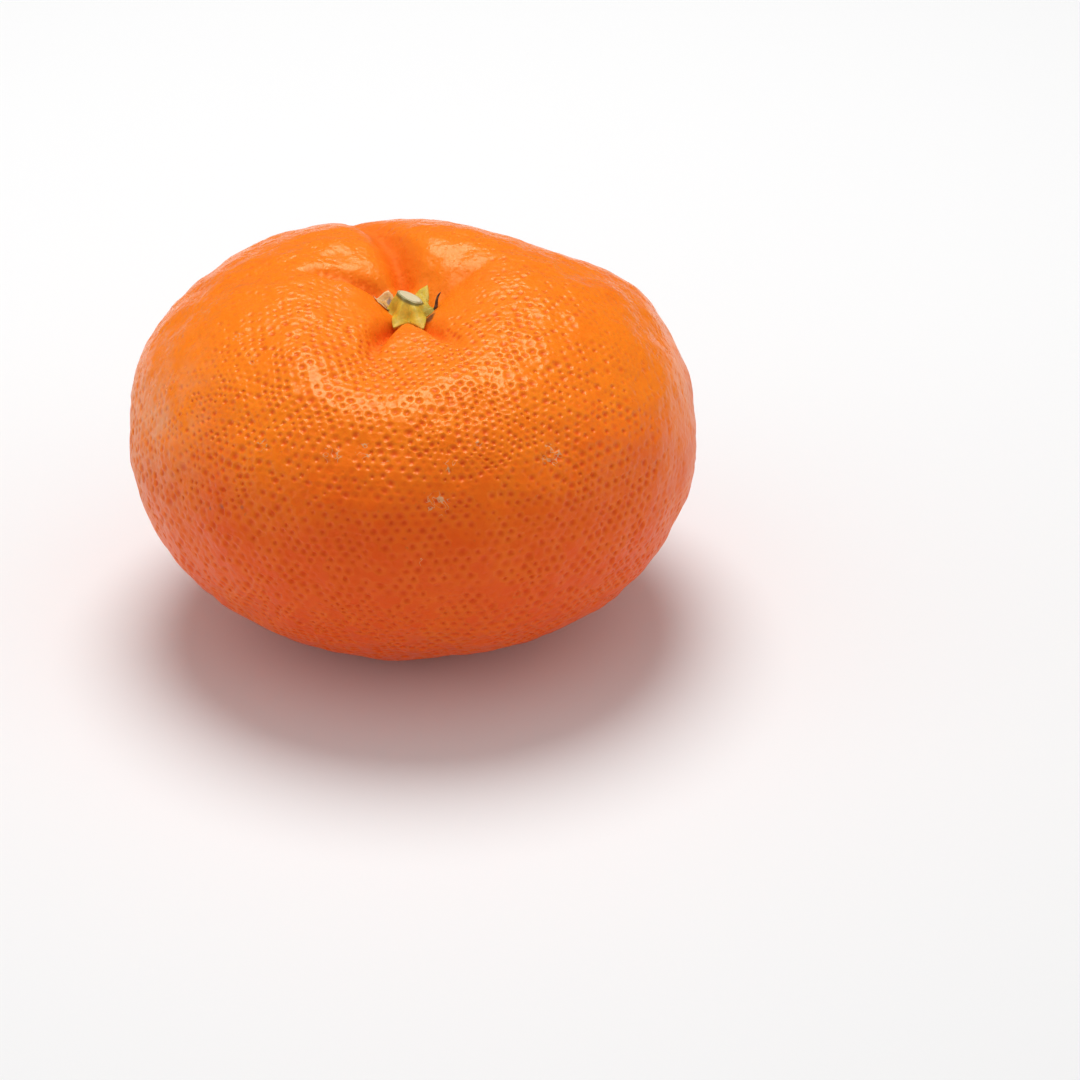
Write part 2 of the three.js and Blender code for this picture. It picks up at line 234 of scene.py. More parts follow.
def crowd_to_stem(d):
    """Draws directions closer together round the stem, where a mandarin's pits crowd."""
    share, reach = STEM_CROWDING["share"], STEM_CROWDING["reach"]

    def crowded(angle):
        return angle - share * reach * (1 - np.exp(-angle / reach))

    angle = math.pi * crowded(np.arccos(np.clip(d[:, 2], -1, 1))) / crowded(math.pi)
    ring = np.maximum(np.hypot(d[:, 0], d[:, 1]), 1e-9)
    return np.column_stack(
        (d[:, 0] / ring * np.sin(angle), d[:, 1] / ring * np.sin(angle), np.cos(angle))
    )


def spline(points, along):
    """A point on the smooth line through points, along from 0 to 1 (Catmull-Rom)."""
    spot = along * (len(points) - 1)
    i = min(int(spot), len(points) - 2)
    t = spot - i
    p0, p1, p2, p3 = (points[min(max(i + k, 0), len(points) - 1)] for k in (-1, 0, 1, 2))
    return 0.5 * (
        2 * p1
        + (p2 - p0) * t
        + (2 * p0 - 5 * p1 + 4 * p2 - p3) * t**2
        + (3 * p1 - p0 - 3 * p2 + p3) * t**3
    )


# Where the stem leaves the peel.
STEM_FOOT = STEM_AXIS + Vector((0, 0, float(peel_height(0, 0)[0])))


# ---- helpers for meshes ----
def read_places(mesh):
    flat = np.empty(len(mesh.vertices) * 3)
    mesh.vertices.foreach_get("co", flat)
    return flat.reshape(-1, 3)


def write_places(mesh, points):
    mesh.vertices.foreach_set("co", np.ascontiguousarray(points, float).ravel())
    mesh.update()


def add_attribute(mesh, name, values, domain="POINT"):
    """Gives the mesh a number, or a row of three, at each vertex or at each face's corners."""
    kind, key = ("FLOAT", "value") if values.ndim == 1 else ("FLOAT_VECTOR", "vector")
    layer = mesh.attributes.new(name, kind, domain)
    layer.data.foreach_set(key, np.ascontiguousarray(values, np.float32).ravel())


def read_attribute(mesh, name):
    layer = mesh.attributes[name]
    values = np.empty(len(layer.data), int if layer.data_type == "INT" else float)
    layer.data.foreach_get("value", values)
    return values


def wander(points, step, seed=0.0):
    """A smooth random value from about -1 to 1 at each point, with hills about step apart."""
    shift = Vector((seed, 2.3 * seed, 4.1 * seed))
    return np.array([noise.noise(Vector(p) / step + shift) for p in points])


def turned(profile, steps):
    """A closed form turned round the Z axis from points that start and end on it.

    Each point is a radius and a height.
    """
    bm = bmesh.new()
    verts = [bm.verts.new((radius, 0, height)) for radius, height in profile]
    edges = [bm.edges.new(pair) for pair in zip(verts, verts[1:])]
    full = {"cent": (0, 0, 0), "axis": (0, 0, 1), "angle": math.tau, "steps": steps}
    bmesh.ops.spin(bm, geom=verts + edges, use_merge=True, **full)
    bmesh.ops.remove_doubles(bm, verts=bm.verts, dist=1e-6)
    bmesh.ops.recalc_face_normals(bm, faces=bm.faces)
    return bm


def finished(bm, name):
    """The mesh that a bmesh has become. It frees the bmesh."""
    mesh = bpy.data.meshes.new(name)
    bm.to_mesh(mesh)
    bm.free()
    return mesh


def link_object(name, data):
    thing = bpy.data.objects.new(name, data)
    bpy.context.scene.collection.objects.link(thing)
    return thing


def add_piece(mesh, material, node):
    """Makes the object of a mesh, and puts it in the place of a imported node."""
    mesh.shade_smooth()
    mesh.materials.append(material)
    piece = link_object(mesh.name, mesh)
    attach(piece, "root")
    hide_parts(node)


# ---- helpers for materials ----
# The streaks are as fine as noise on a ring of this radius, and this much slower outwards.
STREAKS = {"radius": 9 * MM, "slowing": 0.2}


class Value:
    """One output of a shader node. Arithmetic on it adds Math nodes."""

    def __init__(self, shader, socket):
        self.shader = shader
        self.socket = socket

    def __add__(self, other):
        return self.shader.math("ADD", self, other)

    def __radd__(self, other):
        return self.shader.math("ADD", other, self)

    def __sub__(self, other):
        return self.shader.math("SUBTRACT", self, other)

    def __rsub__(self, other):
        return self.shader.math("SUBTRACT", other, self)

    def __mul__(self, other):
        return self.shader.math("MULTIPLY", self, other)

    def __rmul__(self, other):
        return self.shader.math("MULTIPLY", other, self)

    def __pow__(self, other):
        return self.shader.math("POWER", self, other)

    def clamped(self):
        return self.shader.node("ShaderNodeClamp", inputs={"Value": self})["Result"]

    def smooth(self, low, high):
        """0 below low and 1 above high, with an eased change between them."""
        ends = {"Value": self, "From Min": low, "From Max": high}
        if low > high:
            ends = {"Value": self, "From Min": high, "From Max": low, "To Min": 1, "To Max": 0}
        kind = {"interpolation_type": "SMOOTHSTEP"}
        return self.shader.node("ShaderNodeMapRange", kind, ends)["Result"]


class Shader:
    """A material, or the world's light, whose nodes are added by calls."""

    def __init__(self, name, kept_in="materials"):
        self.owner = getattr(bpy.data, kept_in).new(name)
        self.owner.use_nodes = True
        self.tree = self.owner.node_tree
        self.tree.nodes.clear()
        self.place = self.node("ShaderNodeTexCoord")["Object"]

    def node(self, kind, settings=None, inputs=None):
        """Adds a node. Returns its outputs by name, and by number where names repeat."""
        made = self.tree.nodes.new(kind)
        for key, value in (settings or {}).items():
            setattr(made, key, value)
        for key, value in (inputs or {}).items():
            if isinstance(value, Value):
                self.tree.links.new(value.socket, made.inputs[key])
            else:
                made.inputs[key].default_value = value
        outputs = {i: Value(self, socket) for i, socket in enumerate(made.outputs)}
        outputs.update({socket.name: Value(self, socket) for socket in made.outputs})
        return outputs

    def math(self, operation, a, b):
        return self.node("ShaderNodeMath", {"operation": operation}, {0: a, 1: b})["Value"]

    def mix(self, share, a, b):
        """A colour between a and b."""
        ends = {0: share, 6: self._colour(a), 7: self._colour(b)}
        return self.node("ShaderNodeMix", {"data_type": "RGBA"}, ends)[2]

    @staticmethod
    def _colour(value):
        return value if isinstance(value, Value) else (*tuple(value)[:3], 1)

    def attribute(self, name, output="Fac"):
        return self.node("ShaderNodeAttribute", {"attribute_name": name})[output]

    def noise(self, size, detail=2.0, roughness=0.5, place=None, distortion=0.0):
        """A random value about 0.5 that changes over about that size, in metres."""
        inputs = {
            "Vector": place or self.place,
            "Scale": 1 / size,
            "Detail": detail,
            "Roughness": roughness,
            "Distortion": distortion,
        }
        return self.node("ShaderNodeTexNoise", inputs=inputs)["Fac"]

    def cells(self, size):
        """The distance, in cells, to the nearest of random points about that far apart."""
        inputs = {"Vector": self.place, "Scale": 1 / size}
        return self.node("ShaderNodeTexVoronoi", inputs=inputs)["Distance"]

    def vector(self, operation, a, b=(0, 0, 0), scale=1.0):
        """The outputs of a Vector Math node."""
        return self.node("ShaderNodeVectorMath", {"operation": operation}, {0: a, 1: b, 3: scale})

    def along(self, way):
        """How far each point lies along a direction, in metres."""
        return self.vector("DOT_PRODUCT", self.place, Vector(way).normalized())["Value"]

    def near(self, centre, reach):
        """1 at a place on the piece and 0 from reach away, with an eased change."""
        return self.vector("DISTANCE", self.place, centre)["Value"].smooth(reach, 0)

    def outward_streaks(self):
        """Coordinates that change round the stem axis, and only slowly away from it."""
        offset = self.vector("SUBTRACT", self.place, STEM_AXIS)[0]
        level = self.vector("MULTIPLY", offset, (1, 1, 0))[0]
        away = self.vector("LENGTH", level)["Value"] * STREAKS["slowing"]
        way = self.vector("NORMALIZE", level)[0]
        around = self.vector("SCALE", way, scale=STREAKS["radius"])[0]
        lifted = self.node("ShaderNodeCombineXYZ", inputs={"Z": away})[0]
        return self.vector("ADD", around, lifted)[0]

    def bump(self, height, distance, strength=1.0, normal=None):
        inputs = {"Strength": strength, "Distance": distance, "Height": height}
        if normal is not None:
            inputs["Normal"] = normal
        return self.node("ShaderNodeBump", inputs=inputs)["Normal"]

    def principled(self, inputs):
        """Ends the material in a Principled shader, and returns the material."""
        shader = self.node("ShaderNodeBsdfPrincipled", inputs=inputs)["BSDF"]
        self.node("ShaderNodeOutputMaterial", inputs={"Surface": shader})
        return self.owner


# ---- settings ----
class MandarinPeelSettings(bpy.types.PropertyGroup):
    """Sizes and colours of the fruit's peel."""

    pit_rows: IntProperty(
        name="Pit rows",
        description="Rows of oil-gland pits along one edge of the icosahedron they are laid out on",
        default=31,
        min=6,
        max=32,
    )
    pit_depth: FloatProperty(
        name="Pit depth",
        description="Depth of a deep oil-gland pit",
        default=0.19 * MM,
        unit="LENGTH",
    )
    pit_width: FloatProperty(
        name="Pit width",
        description="Usual width of a pit as a share of the space between pits",
        default=0.6,
        subtype="FACTOR",
    )
    bright_colour: FloatVectorProperty(
        name="Bright peel",
        description="Colour of the peel high on the fruit",
        default=(0.95, 0.208, 0.003),
        subtype="COLOR",
    )
    # Partly the peel's own deeper tone and partly painted shade, low on the fruit and in the pits'
    # bowls.
    deep_tone_and_shade: FloatVectorProperty(
        name="Deep peel",
        description="Colour of the peel low on the fruit and round the bottoms of the pits",
        default=(0.81, 0.074, 0.001),
        subtype="COLOR",
    )
    # Painted shade for the bottoms of the pits and for the creases.
    pit_and_crease_shade: FloatVectorProperty(
        name="Pits",
        description="Colour at the bottoms of the pits and in the creases",
        default=(0.66, 0.04, 0.001),
        subtype="COLOR",
    )
    # Painted highlight for the ridges between the pits.
    ridge_highlight: FloatVectorProperty(
        name="Ridges",
        description="Colour of the pale ridges between the pits",
        default=(0.97, 0.33, 0.03),
        subtype="COLOR",
    )
    scar_colour: FloatVectorProperty(
        name="Scars",
        description="Colour of the pale rubbed marks on the peel",
        default=(0.72, 0.42, 0.22),
        subtype="COLOR",
    )


class MandarinStemSettings(bpy.types.PropertyGroup):
    """Colours of the calyx, the stem end and the withered sepals."""

    calyx_colour: FloatVectorProperty(
        name="Calyx",
        description="Colour of the ripe, yellowed calyx",
        default=(0.74, 0.5, 0.03),
        subtype="COLOR",
    )
    calyx_green: FloatVectorProperty(
        name="Green of the calyx",
        description="Colour of the calyx where it has stayed green",
        default=(0.27, 0.28, 0.035),
        subtype="COLOR",
    )
    wood_colour: FloatVectorProperty(
        name="Cut stem",
        description="Colour of the cut face of the stem",
        default=(0.66, 0.62, 0.4),
        subtype="COLOR",
    )
    tip_colour: FloatVectorProperty(
        name="Dried tip",
        description="Colour of the sepal tip that has dried to a tendril",
        default=(0.06, 0.03, 0.02),
        subtype="COLOR",
    )
    sepal_colour: FloatVectorProperty(
        name="Papery sepal",
        description="Colour of the sepal that has withered to a scale",
        default=(0.66, 0.34, 0.07),
        subtype="COLOR",
    )


class MandarinStageSettings(bpy.types.PropertyGroup):
    """The floor, the lights and the camera."""

    floor_colour: FloatVectorProperty(
        name="Floor",
        description="Colour of the floor",
        default=(0.86, 0.86, 0.86),
        subtype="COLOR",
    )
    surround: FloatProperty(
        name="Surround",
        description="Strength of the white light from all round",
        default=0.55,
        min=0,
    )
    surround_behind: FloatProperty(
        name="Surround behind",
        description="How bright that light is behind the fruit, as a share of its strength",
        default=0.3,
        subtype="FACTOR",
    )
    overhead_power: FloatProperty(
        name="Overhead light",
        description="Power of the large soft light above the fruit",
        default=3.2,
        unit="POWER",
    )
    side_power: FloatProperty(
        name="Side lights",
        description="Power of each of the two soft lights beside the fruit",
        default=0.25,
        unit="POWER",
    )
    camera_distance: FloatProperty(
        name="Camera distance",
        description="Distance from the camera to the middle of the fruit",
        default=500 * MM,
        unit="LENGTH",
    )
    camera_elevation: FloatProperty(
        name="Camera elevation",
        description="How far the camera looks down",
        default=math.radians(30),
        subtype="ANGLE",
    )


# ---- the fruit ----
PIT_SEED = 7
# How the rows of pits wave, on a sphere of radius 1. With this seed every cell comes out
# whole, and without one the waves would change with the time of day.
PIT_WARP = {"waves": 7, "by": 0.035, "seed": 33}
# Each pit strays from its row, by a share of the space between rows, and is drawn back
# towards the middle of its neighbours, several times over.
PIT_SCATTER = {"share": 0.31, "times": 4, "evening": 0.3}
PIT_WIDTHS = (0.7, 1.25)  # least and most, as shares of the usual width
PIT_DEPTHS = (0.15, 1.25)  # least and most, as shares of the depth of a deep one
PIT_BOWLS = (0.38, 0.85)  # their radii in the material, as shares of half the space
RIM_FALL = 0.5  # share of a pit's depth that is reached at its rim
RIDGE_INSET = 0.25  # as a share of the space between rows, before the rims are placed
STEM_CROWDING = {"share": 0.35, "reach": 0.6}  # closer pits near the stem, reach in radians
PITLESS = {"stem": (5 * MM, 15 * MM), "foot": (0.3 * MM, 3 * MM)}  # where the pits fade in
FEWER_DEEP_PITS = {"by": 0.5, "heights": (14 * MM, 30 * MM)}  # all of it below the lower one
PIT_PATCHES = {"middle": 0.95, "by": 0.3, "size": 7 * MM, "seed": 3.0}  # how depths wander
LUMPLESS = (0.1 * MM, 3 * MM)  # heights where the lumps fade in
DEEP_CREASE = 2.5 * MM  # from this depth a crease has its full painted shade and its full roughness

# Where the pits are shallower: azimuth, elevation and reach, seen from the middle.
SMOOTH_PATCHES = (
    (150, 50, 18 * MM),
    (190, 40, 13 * MM),
    (100, 55, 15 * MM),
    (40, 42, 16 * MM),
    (10, 35, 17 * MM),
    (345, 15, 12 * MM),
)
SMOOTHER_BY = 0.7  # share of their depth that the pits lose in the middle of a patch

# The uneven ground between the pits: how far apart its hills are, how high, and a seed.
LUMPS = (
    (8 * MM, 0.3 * MM, 1.0),
    (4.2 * MM, 0.22 * MM, 6.0),
    (2.3 * MM, 0.17 * MM, 2.0),
)


def corner_outside(vert, cell):
    """The corner of the ridges that a corner of the inset cell was made from."""
    return next(e.other_vert(vert) for e in vert.link_edges if cell not in e.link_faces)


def pitted_sphere(settings, random):
    """A sphere of uneven cells, each with the rim and the bottom of one pit.

    It has an attribute relief, which is 1 on the ridges between pits, 0 on the rims of the
    pits and -1 at their bottoms, one for each pit's own depth as a share, and one for the
    number of each face's pit, its cell.
    """
    bm = bmesh.new()
    bmesh.ops.create_icosphere(bm, subdivisions=1, radius=1)
    bmesh.ops.subdivide_edges(bm, edges=bm.edges, cuts=settings.pit_rows - 1, use_grid_fill=True)
    noise.seed_set(PIT_WARP["seed"])
    for vert in bm.verts:
        place = vert.co.normalized()
        waved = noise.noise_vector(place * PIT_WARP["waves"]) * PIT_WARP["by"]
        vert.co = (place + waved).normalized()
    stray = PIT_SCATTER["share"] / settings.pit_rows
    axes = {"use_axis_x": True, "use_axis_y": True, "use_axis_z": True}
    for _ in range(PIT_SCATTER["times"]):
        for vert in bm.verts:
            vert.co = (vert.co + Vector(random.uniform(-stray, stray, 3))).normalized()
        bmesh.ops.smooth_vert(bm, verts=bm.verts, factor=PIT_SCATTER["evening"], **axes)
    sides = list(bm.edges)
    bottoms = list(bm.verts)
    bmesh.ops.poke(bm, faces=bm.faces)
    bmesh.ops.rotate_edges(bm, edges=sides)
    bmesh.ops.dissolve_verts(bm, verts=bottoms)
    number = bm.faces.layers.int.new("cell")
    cells = list(bm.faces)
    for i, cell in enumerate(cells):
        cell[number] = i
    bmesh.ops.inset_individual(bm, faces=cells, thickness=RIDGE_INSET / settings.pit_rows)
    relief = bm.verts.layers.float.new("relief")
    depth = bm.verts.layers.float.new("depth")
    for vert in bm.verts:
        vert[relief] = 1
    for cell in cells:
        middle = cell.calc_center_median()
        corners = [corner_outside(vert, cell) for vert in cell.verts]
        width = settings.pit_width * random.uniform(*PIT_WIDTHS)
        own_depth = random.uniform(*PIT_DEPTHS)
        for vert, corner in zip(cell.verts, corners):
            vert.co = middle.lerp(corner.co, width)
            vert[relief] = 0
            vert[depth] = own_depth
    centres = bmesh.ops.poke(bm, faces=cells)["verts"]
    for vert in centres:
        vert[relief] = -1
        vert[depth] = next(iter(vert.link_edges)).other_vert(vert)[depth]
    return bm


def pit_share(points):
    """How deep the pits are at points of the peel, as a share of their full depth."""
    x, y, z = points.T
    by_stem = smoothstep(np.hypot(x, y), *PITLESS["stem"])
    from_stem = np.where(z > STANDING_HEIGHT, by_stem, 1)
    from_foot = smoothstep(z, *PITLESS["foot"])
    near = 0
    for azimuth, elevation, reach in SMOOTH_PATCHES:
        way = np.array(on_peel(azimuth, elevation)) - np.array(STEM_AXIS)
        near = near + np.exp(-((np.linalg.norm(points - way, axis=1) / reach) ** 2))
    uneven = PIT_PATCHES["by"] * wander(points, PIT_PATCHES["size"], PIT_PATCHES["seed"])
    patches = PIT_PATCHES["middle"] + uneven
    return from_stem * from_foot * (1 - SMOOTHER_BY * np.minimum(near, 1)) * patches


def build_fruit(settings):
    random = np.random.default_rng(PIT_SEED)
    mesh = finished(pitted_sphere(settings, random), "fruit_peel")
    d = read_places(mesh)
    d /= np.linalg.norm(d, axis=1)[:, None]
    smooth = peel_points(crowd_to_stem(d))
    write_places(mesh, smooth)
    normals = np.empty(smooth.size)
    mesh.vertex_normals.foreach_get("vector", normals)
    normals = normals.reshape(-1, 3)

    relief = read_attribute(mesh, "relief")
    depth = read_attribute(mesh, "depth")
    x, y, z = smooth.T
    low = FEWER_DEEP_PITS["by"] * (1 - smoothstep(z, *FEWER_DEEP_PITS["heights"]))
    share = pit_share(smooth) * (1 - low * (1 - np.minimum(depth, 1)))
    fall = np.where(relief < -0.5, 1.0, np.where(relief < 0.5, RIM_FALL, 0.0)) * depth
    lumps = sum(height * wander(smooth, step, seed) for step, height, seed in LUMPS)
    lift = lumps * smoothstep(z, *LUMPLESS) - settings.pit_depth * fall * share
    points = smooth + normals * lift[:, None]
    write_places(mesh, points + np.array(STEM_AXIS))
    mark_pits(mesh, smooth, relief, depth * share, random)
    crease = np.where(z > STANDING_HEIGHT, crease_depth(x, y) / DEEP_CREASE, 0)
    add_attribute(mesh, "crease", crease)
    add_piece(mesh, peel_material(settings), "fruit")


def mark_pits(mesh, smooth, relief, strength, random):
    """Tells each corner of a face how far it is from its pit's bottom, and how deep the pit is.

    The way from the bottom is in shares of the pit's radius, so that its length is 1 at the
    rim of the pit. It changes at the ridges, so it is kept at the corners.
    """
    corner_vertex = np.empty(len(mesh.loops), int)
    mesh.loops.foreach_get("vertex_index", corner_vertex)
    sizes = np.empty(len(mesh.polygons), int)
    mesh.polygons.foreach_get("loop_total", sizes)
    corner_cell = np.repeat(read_attribute(mesh, "cell"), sizes)

    at_bottom = relief[corner_vertex] < -0.5
    bottom_of = np.zeros(corner_cell.max() + 1, int)
    bottom_of[corner_cell[at_bottom]] = corner_vertex[at_bottom]
    way = smooth[corner_vertex] - smooth[bottom_of[corner_cell]]
    at_ridge = relief[corner_vertex] > 0.5
    cells = corner_cell[at_ridge]
    reach = np.bincount(cells, np.linalg.norm(way[at_ridge], axis=1)) / np.bincount(cells)
    radius = reach * random.uniform(*PIT_BOWLS, len(reach))
    add_attribute(mesh, "from_pit", way / radius[corner_cell][:, None], "CORNER")
    add_attribute(mesh, "pit_strength", strength[bottom_of][corner_cell], "CORNER")


# Rubbed marks on the peel: azimuth, elevation and reach of each, seen from the middle.
SCARS = (
    (219, 47, 1.3 * MM),
    (240, 68, 0.9 * MM),
    (236, 28, 1.3 * MM),
    (253, 30, 1.8 * MM),
    (260, 32, 1.6 * MM),
    (265, 29, 1.0 * MM),
    (286, 34, 1.2 * MM),
    (279, 28, 1.2 * MM),
    (302, 26, 2.1 * MM),
    (276, 18, 2.2 * MM),
    (272, 2, 0.9 * MM),
    (185, 44, 1.4 * MM),
    (206, 49, 1.1 * MM),
    (188, 76, 2.2 * MM),
    (276, 67, 2.2 * MM),
    (60, 20, 2.0 * MM),
    (105, -10, 1.8 * MM),
)
SPECKS = ((235, 10, 0.45 * MM), (230, 8, 0.6 * MM), (227, 6, 0.4 * MM), (20, -14, 0.5 * MM))
SPECK_COLOUR = (0.2, 0.06, 0.07)
YELLOWER = ((190, 0, 26 * MM), (350, 5, 24 * MM))  # where the flanks are painted brighter and less red: painted light from the side lights
# The peel's colour grows brighter and its surface smoother this way, between two distances from the
# origin. The colour change is partly the peel's own tone and partly painted light and shade:
# brighter high up where the overhead light falls, deeper red low down in shade.
UPWARD = {"way": (-0.05, 0.1, 0.98), "from": 21 * MM, "to": 44 * MM}
FLANK_SHEEN = ((201, 13, 18 * MM),)  # where the peel has a painted sheen, mottled like a faint waxy bloom
FLANK_SHEEN_COLOUR = (0.78, 0.42, 0.26)
BLOSSOM_SCAR = ((0, -90, 2.2 * MM),)
BLOSSOM_SCAR_COLOUR = (0.24, 0.11, 0.035)
DARK_SPOT = {"azimuth": 312, "from": 4.0 * MM, "reach": 1.3 * MM}  # dark, beside the calyx
DARK_SPOT_COLOUR = (0.07, 0.02, 0.015)
STEM_MATT = 17 * MM  # reach of the duller, streaky peel round the stem


def marks(s, places):
    """1 at the middle of each of some places on the peel, and 0 from its reach away."""
    total = 0
    for azimuth, elevation, reach in places:
        total = s.near(on_peel(azimuth, elevation), reach) + total
    return total.clamped()


def dark_spot_place():
    x, y, _ = bearing(DARK_SPOT["azimuth"]) * DARK_SPOT["from"]
    return STEM_AXIS + Vector((x, y, float(peel_height(x, y)[0])))


def peel_material(settings):
    s = Shader("pitted mandarin peel")
    from_pit = s.vector("LENGTH", s.attribute("from_pit", "Vector"))["Value"]
    strength = s.attribute("pit_strength").smooth(0, 0.9)
    bowl = from_pit.smooth(1.25, 0.1) * strength
    pit = from_pit.smooth(0.75, 0.1) * strength
    ridge = (1 - bowl) * strength
    crease = s.attribute("crease").clamped()

    broad = s.noise(14 * MM, 2)
    fine = s.noise(2.2 * MM, 3)
    upward = s.along(UPWARD["way"]).smooth(UPWARD["from"], UPWARD["to"])
    uneven = (broad - 0.5) * 0.7 + (s.noise(5 * MM) - 0.5) * 0.3 + (fine - 0.5) * 0.45
    bright = upward + marks(s, YELLOWER) * 0.6 + uneven
    # Painted light and shade mixed with the peel's own tone: bright high up and on the flanks,
    # deeper red low down where less light falls.
    colour = s.mix(bright.clamped(), settings.deep_tone_and_shade, settings.bright_colour)
    # Painted shade in the creases, darkest where they cut in deepest.
    colour = s.mix(crease * 0.5, colour, settings.pit_and_crease_shade)
    # Painted highlight: the ridges between the pits are painted paler, for the light they catch.
    colour = s.mix(ridge * 0.12, colour, settings.ridge_highlight)
    # Painted shade in the pits: their bowls deeper red and their bottoms darker, where less light
    # reaches.
    colour = s.mix(bowl * 0.4, colour, settings.deep_tone_and_shade)
    colour = s.mix(pit * 0.5, colour, settings.pit_and_crease_shade)

    # A painted sheen: a pale mottled patch on the left flank, for the white surroundings'
    # reflection there.
    sheen = marks(s, FLANK_SHEEN) * s.noise(3 * MM, 4, 0.6).smooth(0.35, 0.75)
    colour = s.mix(sheen * 0.5, colour, FLANK_SHEEN_COLOUR)
    curls = s.noise(1.5 * MM, 1, distortion=1.2)
    lines = ((curls - 0.5) ** 2).smooth(0.0004, 0.00005)
    scars = lines * marks(s, SCARS).smooth(0.1, 0.4)
    colour = s.mix(scars * 0.8, colour, settings.scar_colour)
    colour = s.mix(marks(s, SPECKS) * 0.6, colour, SPECK_COLOUR)
    scar = (marks(s, BLOSSOM_SCAR) + (s.noise(0.9 * MM, 3) - 0.5)).smooth(0.15, 0.5)
    colour = s.mix(scar * 0.85, colour, BLOSSOM_SCAR_COLOUR)
    # Darkens the peel in a small spot beside the calyx.
    dark_spot = s.near(dark_spot_place(), DARK_SPOT["reach"]).smooth(0, 0.7)
    colour = s.mix(dark_spot * 0.85, colour, DARK_SPOT_COLOUR)

    by_stem = s.near(STEM_FOOT, STEM_MATT)
    roughness = 0.38 - upward * 0.12 + (fine - 0.5) * 0.16 + bowl * 0.15 + crease * 0.5
    roughness = roughness + by_stem * 0.14
    streaks = s.noise(1.1 * MM, 3, 0.5, s.outward_streaks()) * by_stem
    pricks = s.cells(0.95 * MM).smooth(0.35, 0.05)
    wrinkles = streaks * 0.7 + s.noise(1.3 * MM, 3, 0.45) - pricks * 0.2
    normal = s.bump(bowl * -1, 0.13 * MM, 1.0, s.bump(wrinkles, 0.2 * MM))
    return s.principled(
        {
            "Base Color": colour,
            "Roughness": roughness,
            "Normal": normal,
            "IOR": 1.46,
            "Specular Tint": (1.0, 0.72, 0.38, 1),
            "Subsurface Weight": 0.12,
            "Subsurface Radius": (1.0, 0.32, 0.06),
            "Subsurface Scale": 1.2 * MM,
        }
    )


# ---- the calyx ----
CALYX_CRUMPLE = {"size": 0.9 * MM, "height": 0.09 * MM, "seed": 5.0}
GREEN_SIDE = {"from_foot": Vector((3.2, -0.8, 0.5)) * MM, "reach": 3.6 * MM}
BARK_COLOUR = (0.06, 0.07, 0.02)  # where the cut went through the skin of the stem
LOBE_TIP_COLOUR = (0.25, 0.13, 0.02)
CALYX_SPECK_COLOUR = (0.14, 0.08, 0.03)


def lobe_share(azimuth, lobe, half_angle=LOBE_HALF_ANGLE):
    """1 along the middle of a lobe, and 0 where the azimuth is the half angle away from it."""
    off = np.abs((azimuth - lobe + 180) % 360 - 180)
    return np.clip(1 - off / half_angle, 0, 1)


def calyx_reach(azimuth):
    """The distance of the calyx's edge from the stem axis, round between its lobes."""
    reach = np.full_like(azimuth, CALYX_NOTCH)
    for lobe, tip, _ in LOBES:
        share = lobe_share(azimuth, lobe) ** LOBE_TAPER
        reach = np.maximum(reach, CALYX_NOTCH + (tip - CALYX_NOTCH) * share)
    return reach


def cut_lift(x, y, share):
    """How far the askew cut lifts a point, all of it at the share 1 and none at 0."""
    fall = bearing(CUT_SLANT["azimuth"])
    return -CUT_SLANT["slant"] * (x * fall[0] + y * fall[1]) * np.clip(share, 0, 1)


def calyx_profile():
    """Half a section of the calyx, out to 1 at the collar and to 2 at the edge of the star."""
    cup = CALYX_CUP / CALYX_COLLAR
    fall = CALYX_CROWN - 0.2 * MM
    slope = [(1 + t, CALYX_CROWN - fall * t**0.9) for t in np.linspace(0.1, 1, 12)]
    underside = [(out, CALYX_UNDERSIDE) for out in (0, 1, 1.6)]
    edge = [(2, CALYX_UNDERSIDE + 0.05 * MM), (2, 0.12 * MM)]
    crown = [(1.04, CALYX_CROWN - 0.02 * MM), (0.98, CALYX_CROWN), (cup + 0.02, CALYX_CROWN)]
    bowl = [(cup, CALYX_CROWN - 0.1 * MM), (cup, CALYX_FLOOR), (0, CALYX_FLOOR)]
    return underside + edge + slope[::-1] + crown + bowl


def build_calyx(settings):
    mesh = finished(turned(calyx_profile(), 180), "calyx_star")
    out_x, out_y, level = read_places(mesh).T
    out = np.hypot(out_x, out_y)
    turn = np.arctan2(out_y, out_x)
    azimuth = np.degrees(turn) % 360
    reach = calyx_reach(azimuth)
    r = np.where(out <= 1, out * CALYX_COLLAR, CALYX_COLLAR + (reach - CALYX_COLLAR) * (out - 1))
    x, y = r * np.cos(turn), r * np.sin(turn)
    outward = smoothstep(out, 1, 2)
    below = level < 0
    foot = STEM_FOOT.z
    bed = bed_height(x, y)
    rise, rib = np.zeros_like(r), np.zeros_like(r)
    for lobe, tip, droop in LOBES:
        rise -= droop * lobe_share(azimuth, lobe) * smoothstep(r, LOBE_BEND, tip)
        rib = np.maximum(rib, lobe_share(azimuth, lobe, RIB_HALF_ANGLE))
    rib *= smoothstep(out, 1, 1.35) * (1 - smoothstep(out, 1.7, 2))
    z = level + cut_lift(x, y, (level - CALYX_FLOOR) / (CALYX_CROWN - CALYX_FLOOR))
    z = z + foot + (bed - foot) * outward + rise
    z = z + np.where(below, 0, RIB_HEIGHT * rib)
    points = np.column_stack((x, y, z))
    inside = out < 0.99
    crumple = np.where(below | inside, 0, CALYX_CRUMPLE["height"])
    points[:, 2] += wander(points, CALYX_CRUMPLE["size"], CALYX_CRUMPLE["seed"]) * crumple
    write_places(mesh, points + np.array(STEM_AXIS))
    add_attribute(mesh, "outward", np.clip(out - 1, 0, 1))
    add_attribute(mesh, "crown", np.where(inside & (level > CALYX_FLOOR + 0.4 * MM), 1.0, 0.0))
    add_attribute(mesh, "rim", np.where(~inside & (level > CALYX_CROWN - 0.4 * MM), 1.0, 0.0))
    add_piece(mesh, calyx_material(settings), "calyx")


